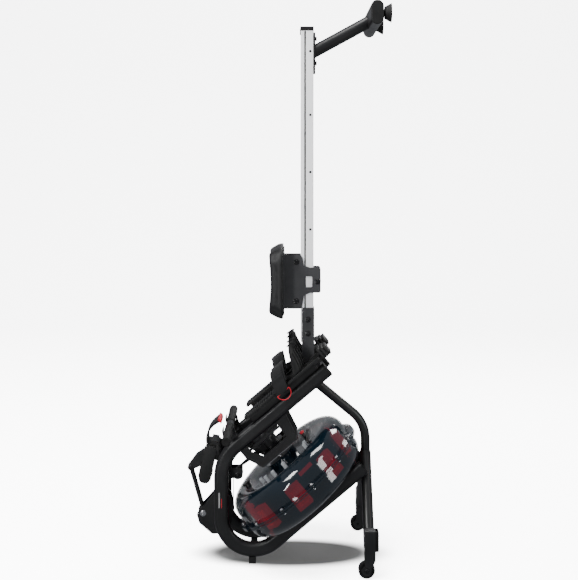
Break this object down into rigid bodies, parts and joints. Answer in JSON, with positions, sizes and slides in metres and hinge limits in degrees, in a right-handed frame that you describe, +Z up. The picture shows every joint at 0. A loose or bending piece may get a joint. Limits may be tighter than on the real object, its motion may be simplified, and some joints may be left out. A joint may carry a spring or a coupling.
{
  "type": "rowing machine",
  "caption": "Water-resistance rowing machine standing upright for storage: tilted tank, rail with sliding seat, pull handle, console and footplates.",
  "frame": {"origin": "on the floor, under the middle of the machine's bounding box as it stands upright", "axes": "+Z up along the rail, +X towards the rear levelling feet, +Y across the machine"},
  "size_m": [0.756, 0.554, 2.067],
  "materials": {
    "frame_paint": "satin",
    "carriage_paint": "satin",
    "rail_aluminium": "satin anodised",
    "bolt_steel": "satin",
    "rubber": "matte",
    "plastic": "fine texture",
    "tank_shell": "smoked, glossy",
    "impeller_red": "glossy",
    "webbing": "woven",
    "foam": "closed-cell foam",
    "seat_cover": "soft moulded skin",
    "accent_red": "matte",
    "screen": "clear window"
  },
  "bodies": {
    "frame": {"side_loop_left": "frame_paint", "side_loop_right": "frame_paint", "rear_legs": "frame_paint", "cross_members": "frame_paint", "rail_stem": "frame_paint", "rear_leg": "frame_paint", "rear_crossbar": "frame_paint", "pulley_brackets": "frame_paint", "tank_bracket": "frame_paint", "rail": "rail_aluminium", "frame_bolts": "bolt_steel", "tank_screws": "bolt_steel", "shaft_bearings": "bolt_steel", "floor_feet": "rubber", "tank_seal": "rubber", "tank_support_pads": "rubber", "tube_end_caps": "plastic", "recoil_housing": "plastic", "handle_hooks": "plastic", "footplates": "plastic", "tank_upper_shell": "tank_shell", "tank_lower_shell": "tank_shell", "drive_strap": "webbing", "foot_straps": "webbing", "strap_pull_rings": "accent_red"},
    "foot_left": {"levelling_foot_left": "rubber"},
    "foot_right": {"levelling_foot_right": "rubber"},
    "wheel_left": {"wheel_left": "rubber"},
    "wheel_right": {"wheel_right": "rubber"},
    "fill_plug": {"tank_fill_plug": "plastic"},
    "impeller": {"impeller": "impeller_red", "impeller_shaft": "bolt_steel"},
    "spool": {"drive_spool": "plastic", "one_way_clutch": "bolt_steel"},
    "front_pulley": {"front_pulley": "plastic"},
    "guide_roller": {"guide_roller": "plastic"},
    "handle": {"handle_core": "bolt_steel", "handle_grips": "foam", "strap_clip": "plastic", "strap_handle_run": "webbing"},
    "console_arm": {"console_arm": "frame_paint"},
    "console": {"console_hinge": "frame_paint", "console_housing": "plastic", "console_screen": "screen", "battery_cover": "plastic", "tablet_holder": "plastic", "tablet_holder_lip": "accent_red"},
    "console_button": {"console_button": "plastic"},
    "heel_cup_left": {"heel_cup_left": "plastic"},
    "heel_cup_right": {"heel_cup_right": "plastic"},
    "seat": {"seat_cushion": "seat_cover", "seat_carriage": "carriage_paint", "roller_axles": "bolt_steel"},
    "roller_lower": {"seat_roller_lower": "plastic"},
    "roller_upper": {"seat_roller_upper": "plastic"},
    "roller_under": {"seat_roller_under": "plastic"}
  },
  "joints": [
    {"name": "seat_slide", "type": "slide", "parent": "frame", "child": "seat", "axis": [0, 0, 1], "range_m": [0, 0.765]},
    {"name": "lower_roller_spin", "type": "hinge", "parent": "seat", "child": "roller_lower", "pos_m": [0.0335, 0, 0.958], "axis": [0, 1, 0], "range_deg": [0, 2745]},
    {"name": "upper_roller_spin", "type": "hinge", "parent": "seat", "child": "roller_upper", "pos_m": [0.0335, 0, 1.105], "axis": [0, 1, 0], "range_deg": [0, 2745]},
    {"name": "under_roller_spin", "type": "hinge", "parent": "seat", "child": "roller_under", "pos_m": [0.1125, 0, 1.032], "axis": [0, -1, 0], "range_deg": [0, 3140]},
    {"name": "wheel_left_spin", "type": "hinge", "parent": "frame", "child": "wheel_left", "pos_m": [0.282, -0.225, 0.03], "axis": [0, 1, 0], "continuous": true},
    {"name": "wheel_right_spin", "type": "hinge", "parent": "frame", "child": "wheel_right", "pos_m": [0.282, 0.225, 0.03], "axis": [0, 1, 0], "continuous": true},
    {"name": "foot_left_screw", "type": "hinge", "parent": "frame", "child": "foot_left", "pos_m": [0.35, -0.16, 2.023], "axis": [1, 0, 0], "continuous": true},
    {"name": "foot_right_screw", "type": "hinge", "parent": "frame", "child": "foot_right", "pos_m": [0.35, 0.16, 2.023], "axis": [1, 0, 0], "continuous": true},
    {"name": "fill_plug_lift", "type": "slide", "parent": "frame", "child": "fill_plug", "axis": [-0.6428, 0, 0.766], "range_m": [0, 0.024]},
    {"name": "impeller_spin", "type": "hinge", "parent": "frame", "child": "impeller", "pos_m": [0.0375, 0, 0.2908], "axis": [-0.6428, 0, 0.766], "continuous": true},
    {"name": "handle_pull", "type": "slide", "parent": "frame", "child": "handle", "axis": [0, 0, 1], "range_m": [0, 0.85], "deforming": ["strap_handle_run"]},
    {"name": "spool_spin", "type": "hinge", "parent": "frame", "child": "spool", "pos_m": [0.0375, 0, 0.2908], "axis": [0.6428, 0, -0.766], "range_deg": [0, 1320]},
    {"name": "front_pulley_spin", "type": "hinge", "parent": "frame", "child": "front_pulley", "pos_m": [-0.236, 0, 0.165], "axis": [0, 1, 0], "range_deg": [0, 1560]},
    {"name": "guide_roller_spin", "type": "hinge", "parent": "frame", "child": "guide_roller", "pos_m": [-0.188, 0, 0.302], "axis": [0, -1, 0], "range_deg": [0, 2870]},
    {"name": "console_arm_fold", "type": "hinge", "parent": "frame", "child": "console_arm", "pos_m": [-0.318, 0, 0.16], "axis": [0, 1, 0], "range_deg": [-50, 0]},
    {"name": "console_tilt", "type": "hinge", "parent": "console_arm", "child": "console", "pos_m": [-0.366, 0, 0.328], "axis": [0, 1, 0], "range_deg": [-95, 0]},
    {"name": "console_button_press", "type": "slide", "parent": "console", "child": "console_button", "axis": [-0.9781, 0, 0.2079], "range_m": [0, 0.0015], "stiffness_N_per_m": 400},
    {"name": "heel_cup_left_slide", "type": "slide", "parent": "frame", "child": "heel_cup_left", "axis": [0.766, 0, 0.6428], "range_m": [0, 0.06]},
    {"name": "heel_cup_right_slide", "type": "slide", "parent": "frame", "child": "heel_cup_right", "axis": [0.766, 0, 0.6428], "range_m": [0, 0.06]}
  ],
  "couplings": [
    {"joint": "lower_roller_spin", "follows": "seat_slide", "rad_per_m": 62.5},
    {"joint": "upper_roller_spin", "follows": "seat_slide", "rad_per_m": 62.5},
    {"joint": "under_roller_spin", "follows": "seat_slide", "rad_per_m": 71.43},
    {"joint": "spool_spin", "follows": "handle_pull", "rad_per_m": 27},
    {"joint": "front_pulley_spin", "follows": "handle_pull", "rad_per_m": 32},
    {"joint": "guide_roller_spin", "follows": "handle_pull", "rad_per_m": 58.8}
  ]
}
